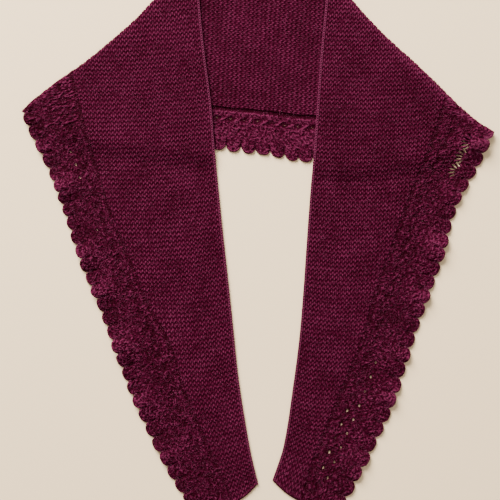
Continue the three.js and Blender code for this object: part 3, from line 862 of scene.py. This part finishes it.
def neck_path(front):
    """The line of the chain along a front's neck edge, from its fold to its lower end, and its heights."""
    first = crease_row(front, "in", 0) + NECK_CORNER_ROWS
    rows = np.linspace(first + 0.4, front.last - 0.3, 260)
    edge = row_point(front.rows, rows, "in")
    inward = row_point(front.rows, rows, "border") - edge
    flat = edge + inward / np.linalg.norm(inward, axis=1, keepdims=True) * NECK_CHAIN_INSET
    return flat, garter_lift(front.fold, flat) + GARTER_WALL - NECK_CHAIN_SINK


def scallop_path(front):
    """The line of the bind-off along a front's scallops, as far as it shows, and its heights."""
    rows = np.arange(front.rows[0].row, front.last - 0.4, 0.06)
    fullness = scallop_fullness(rows / ROWS_PER_SCALLOP - np.floor(rows / ROWS_PER_SCALLOP))
    tip = row_point(front.rows, rows, "tip")
    inward = row_point(front.rows, rows, "border") - tip
    length = np.linalg.norm(inward, axis=1, keepdims=True)
    flat = tip + inward / length * (SCALLOP_DEPTH * (1 - fullness) + SCALLOP_CHAIN_INSET)[:, None]
    past = past_crease(front.fold, flat, 0)
    shown = np.arange(len(rows)) > np.max(np.nonzero(past > -2.5)[0], initial=-1)
    ruffle = ruffle_at(front.ruffles, rows, np.ones(len(rows)))
    return flat[shown], (lift_at(flat) + ruffle + LACE_WALL * BIND_OFF_LEVEL)[shown]


SOCKETS = {type(None): "NodeSocketGeometry", float: "NodeSocketFloat", int: "NodeSocketInt"}


def new_tree(name, **inputs):
    """A geometry tree with inputs, given with their defaults or as None for geometry, and a material."""
    tree = bpy.data.node_groups.new(name, "GeometryNodeTree")
    kinds = {label.replace("_", " "): SOCKETS[type(default)] for label, default in inputs.items()}
    kinds["Material"] = "NodeSocketMaterial"
    for (label, kind), default in zip(kinds.items(), (*inputs.values(), None)):
        socket = tree.interface.new_socket(label, in_out="INPUT", socket_type=kind)
        if default is not None:
            socket.default_value = default
    tree.interface.new_socket("Geometry", in_out="OUTPUT", socket_type="NodeSocketGeometry")
    graph = Graph(tree)
    source = tree.nodes.new("NodeGroupInput")
    return graph, {label: Value(graph, source.outputs[label]) for label in kinds}


def end_tree(graph, given, spots, **instance):
    """Ends a tree with real, smooth copies of an instance on spots, in its material, and returns it."""
    instances = graph.node("GeometryNodeInstanceOnPoints", None, spots, **instance)
    real = graph.node("GeometryNodeRealizeInstances", None, instances)
    smooth_mesh = graph.node("GeometryNodeSetShadeSmooth", None, real)
    done = graph.node("GeometryNodeSetMaterial", None, smooth_mesh, Material=given["Material"])
    graph.node("NodeGroupOutput", None, done, output=None)
    return graph.tree


def chain_tree():
    """A tree that lays knitted loops along a path, each leaning on the next."""
    graph, given = new_tree(
        "knitted chain", Path=None, Loop_length=0.004, Loop_width=0.002, Yarn_radius=0.0004,
        Spacing=0.0025, Lean=0.3,
    )
    line = graph.node("GeometryNodeMeshToCurve", None, given["Path"])
    spots = graph.node("GeometryNodeResampleCurve", {"mode": "LENGTH"}, line, Length=given["Spacing"])
    tangent = graph.node("GeometryNodeInputTangent")
    turn = graph.node(
        "FunctionNodeAlignRotationToVector", {"axis": "X", "pivot_axis": "Z"}, Vector=tangent
    )
    ring = graph.node("GeometryNodeCurvePrimitiveCircle", {"mode": "RADIUS"}, Resolution=8, Radius=0.5)
    size = graph.node("ShaderNodeCombineXYZ", None, given["Loop length"], given["Loop width"], 1.0)
    lean = graph.node("ShaderNodeCombineXYZ", None, 0.0, given["Lean"], 0.0)
    long_ring = graph.node("GeometryNodeTransform", None, ring, Rotation=lean, Scale=size)
    section = graph.node(
        "GeometryNodeCurvePrimitiveCircle", {"mode": "RADIUS"}, Resolution=4, Radius=given["Yarn radius"]
    )
    loop = graph.node("GeometryNodeCurveToMesh", None, long_ring, section)
    return end_tree(graph, given, spots, Instance=loop, Rotation=turn)


UPPER_SIDE = 0.2  # how far up a face looks, at least, that fibres grow on


def fibre_tree():
    """A tree that lets short fibres stand out of the upper side of a piece of knitting."""
    graph, given = new_tree(
        "wool fibres", Knitting=None, Length=0.003, Thickness=0.0001, Density=100000.0, Seed=0
    )
    normal = graph.node("GeometryNodeInputNormal")
    upward = graph.node("ShaderNodeSeparateXYZ", None, normal, output=2)
    is_upper = graph.node("FunctionNodeCompare", {"operation": "GREATER_THAN"}, upward, UPPER_SIDE)
    spots = graph.node(
        "GeometryNodeDistributePointsOnFaces", None, given["Knitting"],
        Selection=is_upper, Density=given["Density"], Seed=given["Seed"],
    )

    def random_number(low, high, seed):
        return graph.node(
            "FunctionNodeRandomValue", {"data_type": "FLOAT"}, None, None, low, high, output=1, Seed=seed
        )

    spin, tilt, share = random_number(0, math.tau, 1), random_number(0.9, 1.5, 2), random_number(0.4, 1, 3)
    angles = graph.node("ShaderNodeCombineXYZ", None, tilt, 0.0, spin)
    turn = graph.node("FunctionNodeEulerToRotation", None, angles)
    fibre = graph.node(
        "GeometryNodeMeshCone", None, Vertices=3, Radius_Top=0.0,
        Radius_Bottom=given["Thickness"], Depth=given["Length"],
    )
    return end_tree(graph, given, spots, Instance=fibre, Rotation=turn, Scale=share)


def grown(name, base, tree, material_name, slot, **values):
    """A plain mesh object from a tree run on a base object. Spaces in names are underscores."""
    modifier = base.modifiers.new("growing", "NODES")
    modifier.node_group = tree
    wanted = {label.replace("_", " "): value for label, value in values.items()}
    wanted["Material"] = material(material_name)
    for socket in tree.interface.items_tree:
        if socket.in_out == "INPUT" and socket.name in wanted:
            modifier[socket.identifier] = wanted[socket.name]
    bpy.context.view_layer.update()
    evaluated = base.evaluated_get(bpy.context.evaluated_depsgraph_get())
    mesh = bpy.data.meshes.new_from_object(evaluated)
    base.modifiers.remove(modifier)
    if not mesh.polygons:
        raise RuntimeError(f"{name} came out empty")
    mesh.name = name
    obj = add_object(name, mesh)
    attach(obj, "root")
    return obj


def chain(sizes, name, flat, heights, slot):
    """A chain of knitted loops along a line in millimetres."""
    mesh = bpy.data.meshes.new(name + "_path")
    points = [(x * MM, y * MM, z * MM) for (x, y), z in zip(flat, heights)]
    mesh.from_pydata(points, [(k, k + 1) for k in range(len(points) - 1)], [])
    base = add_object(name + "_path", mesh)
    obj = grown(
        name, base, bpy.data.node_groups.get("knitted chain") or chain_tree(), "chain wool", slot,
        Loop_length=sizes.loop_length, Loop_width=sizes.loop_width, Yarn_radius=sizes.yarn_radius,
        Spacing=sizes.loop_spacing,
    )
    bpy.data.objects.remove(base)
    return obj


def fibres(sizes, piece, seed, slot, fullness):
    """The wool fibres that stand out of a piece."""
    return grown(
        piece.name.replace("_knit", "_fibres"), piece,
        bpy.data.node_groups.get("wool fibres") or fibre_tree(), "fibre wool", slot,
        Length=sizes.fibre_length, Thickness=sizes.fibre_radius,
        Density=sizes.fibre_density * fullness, Seed=seed,
    )


def math_method(operation, backwards=False, **settings):
    """A method that adds a math node after a value. backwards puts the value last."""

    def method(value, *others):
        inputs = (*others, value) if backwards else (value, *others)
        return value.graph.node("ShaderNodeMath", {"operation": operation, **settings}, *inputs)

    return method


class Value:
    """A node socket with arithmetic."""

    __add__ = __radd__ = math_method("ADD")
    __mul__ = __rmul__ = math_method("MULTIPLY")
    __sub__ = math_method("SUBTRACT")
    __rsub__ = math_method("SUBTRACT", backwards=True)
    __pow__ = math_method("POWER")
    sine = math_method("SINE")
    cosine = math_method("COSINE")
    absolute = math_method("ABSOLUTE")

    def __init__(self, graph, socket):
        self.graph = graph
        self.socket = socket

    def clamped(self):
        return self.graph.node("ShaderNodeMath", {"operation": "ADD", "use_clamp": True}, self, 0.0)


class Graph:
    """Adds nodes to a node tree: a type, its settings, then the values or links of its sockets."""

    def __init__(self, tree):
        self.tree = tree

    def fill(self, made, places):
        for place, value in places:
            if isinstance(value, Value):
                self.tree.links.new(value.socket, made.inputs[place])
            elif value is not None:
                made.inputs[place].default_value = value

    def node(self, kind, settings=None, *values, output=0, **named):
        made = self.tree.nodes.new(kind)
        for key, value in (settings or {}).items():
            setattr(made, key, value)
        self.fill(made, enumerate(values))
        self.fill(made, [(label.replace("_", " "), value) for label, value in named.items()])
        return Value(self, made.outputs[output]) if output is not None else made

    def mix(self, factor, first, second):
        made = self.tree.nodes.new("ShaderNodeMix")
        made.data_type = "RGBA"
        self.fill(made, ((0, factor), (6, first), (7, second)))
        return Value(self, made.outputs[2])


def new_material(name):
    """A material without nodes, with its graph."""
    made = bpy.data.materials.new(name)
    made.use_nodes = True
    made.node_tree.nodes.clear()
    return made, Graph(made.node_tree)


def end_material(graph, colour, bump, roughness, specular, sheen, tint):
    shader = graph.node(
        "ShaderNodeBsdfPrincipled", None, Base_Color=colour, Roughness=roughness, Normal=bump,
        Specular_IOR_Level=specular, Sheen_Weight=sheen, Sheen_Roughness=0.4, Sheen_Tint=tint,
    )
    graph.node("ShaderNodeOutputMaterial", None, shader, output=None)


def yarn_pattern(stitches, ridges):
    """Height of garter stitch, 0 to 1, at a place counted in stitches and ridges."""
    across = ((ridges * math.pi).sine()).absolute() ** 1.9
    tips = ((stitches * (4 * math.pi)).cosine() * 0.2) + 0.8
    return across * tips


# The relief's part is painted shade in the hollows and painted highlight on the crests; fleck and cloud are
# random tone.
RELIEF_SHADE_AND_HIGHLIGHT, FLECK_TONE, CLOUD_TONE = 0.62, 1.1, 0.6  # how much each changes the yarn's tone


def wool(name, hollow_shade, middle, light, depth, level, tip_highlights):
    """Knitted wool: depth scales its painted shade in the hollows, its painted highlight on the crests and
    its random fleck; level sets its tone; painted highlight dashes sit on its stitch tips.
    """
    made, graph = new_material(name)
    knit = graph.node("ShaderNodeAttribute", {"attribute_name": "knit"}, output=1)
    stitches, ridges, relief = (graph.node("ShaderNodeSeparateXYZ", None, knit, output=k) for k in range(3))
    place = graph.node("ShaderNodeTexCoord", output=3)
    cloud, fleck, fuzz = (
        graph.node("ShaderNodeTexNoise", None, Vector=place, Scale=scale, Detail=detail)
        for scale, detail in ((30.0, 3.0), (500.0, 2.0), (2400.0, 3.0))
    )
    underside = graph.node("ShaderNodeMath", {"operation": "LESS_THAN"}, relief, UNDERSIDE / 2)
    height = relief * (1 - underside) + yarn_pattern(stitches, ridges) * underside
    # Painted highlight dashes on the stitch tips.
    tip_highlight = (stitches * (4 * math.pi)).cosine() * (height * tip_highlights)
    tone = (height - 0.5) * (RELIEF_SHADE_AND_HIGHLIGHT * depth) + level + (fleck - 0.5) * (FLECK_TONE * depth)
    tone = (tone + (cloud - 0.5) * CLOUD_TONE + tip_highlight).clamped()
    # From the painted shade of the hollows through the yarn's own colour to the painted highlight of the
    # crests.
    lower = graph.mix((tone * 2.0).clamped(), hollow_shade, middle)
    colour = graph.mix((tone * 2.0 - 1.0).clamped(), lower, light)
    bump = graph.node(
        "ShaderNodeBump", None, Strength=0.8, Distance=0.0008,
        Height=fuzz * 0.5 + fleck * 0.5 + yarn_pattern(stitches, ridges) * underside,
    )
    end_material(graph, colour, bump, 0.85, 0.03, 0.09, (1.0, 0.08, 0.42, 1.0))
    return made


def strand_wool(name, middle, light, spread):
    """Wool of single strands: chain loops and fibres, painted from the crest highlight colour to the fibre
    sheen colour. spread is how fast it turns from middle to light.
    """
    made, graph = new_material(name)
    place = graph.node("ShaderNodeTexCoord", output=3)
    fleck = graph.node("ShaderNodeTexNoise", None, Vector=place, Scale=700.0, Detail=2.0)
    colour = graph.mix(((fleck - 0.35) * spread).clamped(), middle, light)
    bump = graph.node("ShaderNodeBump", None, Strength=0.6, Distance=0.0003, Height=fleck)
    end_material(graph, colour, bump, 0.8, 0.08, 0.12, (1.0, 0.1, 0.45, 1.0))
    return made


# The third number is painted highlight on the stitch tips; depth scales the painted shade and highlight by
# relief.
KNITTED_WOOLS = {
    "garter wool": (1.0, 0.4, 0.34), "lace wool": (1.8, 0.34, 0.0), "back lace wool": (1.7, 0.6, 0.0)
}  # depth, level and dashes
STRAND_WOOLS = {"chain wool": 0.6, "fibre wool": 2.5}  # spread


def material(name):
    """A wool by its name, made when it is first asked for."""
    colours = bpy.context.scene.shawlette_wool
    found = bpy.data.materials.get(name)
    if found:
        return found
    if name in KNITTED_WOOLS:
        return wool(name, colours.hollow_shade, colours.middle, colours.light, *KNITTED_WOOLS[name])
    # Chains and fibres take the painted crest highlight and painted fibre sheen colours.
    return strand_wool(name, colours.light, colours.fibre, STRAND_WOOLS[name])


def colour_property(name, description, default):
    return bpy.props.FloatVectorProperty(
        name=name, description=description, subtype="COLOR", size=4, min=0, max=1, default=default
    )


def length_property(name, description, default):
    return bpy.props.FloatProperty(
        name=name, description=description, default=default, min=0, unit="LENGTH", precision=5
    )


class ShawletteWool(bpy.types.PropertyGroup):
    """Colours of the yarn: painted shade for its hollows, its own colour, painted highlight for its crests
    and painted sheen for loose fibres.
    """

    # Painted shade in the hollows between stitches.
    hollow_shade: colour_property("Hollows", "Yarn deep between the stitches", (0.013, 0.0, 0.0021, 1))
    middle: colour_property("Yarn", "Yarn in general", (0.031, 0.0003, 0.0078, 1))
    # Painted highlight on the crests of the stitches, also the base colour of chains and fibres.
    light: colour_property("Crests", "Yarn on top of the stitches", (0.091, 0.0105, 0.0335, 1))
    # Painted sheen on loose fibres and chain loops.
    fibre: colour_property("Fibres", "Loose fibres that catch the light", (0.21, 0.05, 0.1, 1))


class ShawletteSizes(bpy.types.PropertyGroup):
    """Sizes of the stitches, chains and fibres."""

    relief: length_property("Relief", "Depth of the valleys between the ridges", 0.0012)
    proud: length_property("Proud", "Height of the ridges over the frame", 0.0002)
    swing: bpy.props.FloatProperty(
        name="Swing", description="How far a ridge's crest swings from side to side, in ridges", default=0.24
    )
    loop_length: length_property("Loop length", "Length of a loop of a chain", 0.0036)
    loop_width: length_property("Loop width", "Width of a loop of a chain", 0.0017)
    loop_spacing: length_property("Loop spacing", "Distance between the loops of a chain", 0.0026)
    yarn_radius: length_property("Yarn radius", "Half the thickness of a chain's yarn", 0.00042)
    fibre_length: length_property("Fibre length", "Length of the longest loose fibres", 0.0036)
    fibre_radius: length_property("Fibre radius", "Half the thickness of a loose fibre", 0.00012)
    fibre_density: bpy.props.FloatProperty(
        name="Fibre density", description="Loose fibres for each square metre", default=158000, min=0
    )


# What shows of each stretch, laid out flat: width and length in metres, area in square metres. Then its wool,
# its slot, and the seed and fullness of its fibres.
Cut = namedtuple("Cut", "width length area wool slot seed fullness")
CUTS = {
    "back_garter": Cut(0.42, 0.18, 0.0391, "garter wool", "garter_wool", 61, 1.0),
    "back_edging": Cut(0.052, 0.50, 0.0209, "back lace wool", "lace_wool", 62, 1.3),
    "left_front_garter": Cut(0.15, 0.58, 0.0482, "garter wool", "garter_wool", 71, 1.0),
    "left_front_edging": Cut(0.058, 0.47, 0.0255, "lace wool", "lace_wool", 81, 1.6),
    "right_front_garter": Cut(0.15, 0.58, 0.0414, "garter wool", "garter_wool", 72, 1.0),
    "right_front_edging": Cut(0.058, 0.47, 0.0244, "lace wool", "lace_wool", 82, 1.6),
}


def finish_piece(sizes, obj, *chains):
    """Gives a piece its wool and fibres, ties it to the root body and hides the frame's part that it stands
    for.
    """
    node = obj.name.replace("_knit", "")
    cut = CUTS[node]
    extras = [*chains, fibres(sizes, obj, cut.seed, cut.slot, cut.fullness)]
    obj.data.materials.append(material(cut.wool))
    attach(obj, "root")
    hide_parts(node)


class OBJECT_OT_knit_back(bpy.types.Operator):
    """Knits the back: its garter stitch and its lace edging"""

    bl_idname = "object.knit_back"
    bl_label = "Knit the back"

    def execute(self, context):
        sizes = context.scene.shawlette_sizes
        for piece in (back_garter(sizes), back_edging()):
            finish_piece(sizes, piece)
        return {"FINISHED"}


class OBJECT_OT_knit_fronts(bpy.types.Operator):
    """Knits both fronts: their garter stitch and their lace edging"""

    bl_idname = "object.knit_fronts"
    bl_label = "Knit the fronts"

    def execute(self, context):
        sizes = context.scene.shawlette_sizes
        for front in (LEFT_FRONT, RIGHT_FRONT):
            garter, edging = front_garter(sizes, front), front_edging(front)
            neck = chain(sizes, front.name + "_neck_chain", *neck_path(front), "garter_wool")
            bind_off = chain(sizes, front.name + "_bind_off", *scallop_path(front), "lace_wool")
            finish_piece(sizes, garter, neck)
            finish_piece(sizes, edging, bind_off)
        return {"FINISHED"}


# The stage in metres, but for the sensor in millimetres and the lamps' power in watts.
FLOOR = 3  # half the floor's side
Lamp = namedtuple("Lamp", "name place size power")
LAMPS = (Lamp("window", (-1.1, 2.2, 1.6), 1.8, 420), Lamp("fill", (0.9, -0.6, 1.4), 1.2, 5))
LIT_SPOT = Vector((0.05, 0, 0))
SENSOR = 36
CAMERA_X, CAMERA_Y, CAMERA_HEIGHT = -0.00756, -0.0169, 1.1
KNIT_HEIGHT = 0.004  # where the knitting is, which the camera's height is counted from
PHOTO_WIDTH = 0.525  # how much of it the photo shows across


class SCENE_OT_shawlette_stage(bpy.types.Operator):
    """Adds the floor, the light and the camera"""

    bl_idname = "scene.shawlette_stage"
    bl_label = "Set the stage"

    def execute(self, context):
        scene = context.scene
        mesh = bpy.data.meshes.new("floor")
        corners = [(-FLOOR, -FLOOR, 0), (FLOOR, -FLOOR, 0), (FLOOR, FLOOR, 0), (-FLOOR, FLOOR, 0)]
        mesh.from_pydata(corners, [], [(0, 1, 2, 3)])
        floor = add_object("floor", mesh)
        paint = bpy.data.materials.new("pale floor")
        paint.use_nodes = True
        sockets = paint.node_tree.nodes["Principled BSDF"].inputs
        sockets["Base Color"].default_value = (0.86, 0.64, 0.38, 1)
        sockets["Roughness"].default_value = 0.7
        sockets["Specular IOR Level"].default_value = 0.2
        mesh.materials.append(paint)

        world = bpy.data.worlds.new("room light")
        world.use_nodes = True
        sockets = world.node_tree.nodes["Background"].inputs
        sockets["Color"].default_value = (1, 0.97, 0.93, 1)
        sockets["Strength"].default_value = 0.52
        scene.world = world
        for lamp in LAMPS:
            light = bpy.data.lights.new(lamp.name, "AREA")
            light.size = lamp.size
            light.energy = lamp.power
            obj = add_object(lamp.name, light)
            obj.location = lamp.place
            obj.rotation_euler = (LIT_SPOT - obj.location).to_track_quat("-Z", "Y").to_euler()

        camera_data = bpy.data.cameras.new("photo camera")
        camera = add_object("photo camera", camera_data)
        camera_data.sensor_width = SENSOR
        camera_data.lens = SENSOR * CAMERA_HEIGHT / PHOTO_WIDTH
        camera_data.clip_start = 0.01
        camera.location = (CAMERA_X, CAMERA_Y, CAMERA_HEIGHT + KNIT_HEIGHT)
        scene.camera = camera
        return {"FINISHED"}


class VIEW3D_PT_shawlette(bpy.types.Panel):
    """Lists the steps that build the shawlette"""

    bl_label = "Shawlette"
    bl_space_type = "VIEW_3D"
    bl_region_type = "UI"
    bl_category = "Shawlette"

    def draw(self, context):
        layout = self.layout
        for group in (context.scene.shawlette_wool, context.scene.shawlette_sizes):
            for name in group.__annotations__:
                layout.prop(group, name)
        for operator in (OBJECT_OT_knit_back, OBJECT_OT_knit_fronts, SCENE_OT_shawlette_stage):
            layout.operator(operator.bl_idname)


CLASSES = (
    ShawletteWool,
    ShawletteSizes,
    OBJECT_OT_knit_back,
    OBJECT_OT_knit_fronts,
    SCENE_OT_shawlette_stage,
    VIEW3D_PT_shawlette,
)


def register():
    for cls in CLASSES:
        bpy.utils.register_class(cls)
    bpy.types.Scene.shawlette_wool = bpy.props.PointerProperty(type=ShawletteWool)
    bpy.types.Scene.shawlette_sizes = bpy.props.PointerProperty(type=ShawletteSizes)


def unregister():
    del bpy.types.Scene.shawlette_wool
    del bpy.types.Scene.shawlette_sizes
    for cls in reversed(CLASSES):
        bpy.utils.unregister_class(cls)


def main():
    register()
    bpy.ops.object.knit_back()
    bpy.ops.object.knit_fronts()
    bpy.ops.scene.shawlette_stage()
    bpy.context.view_layer.update()


if __name__ == "__main__":
    main()
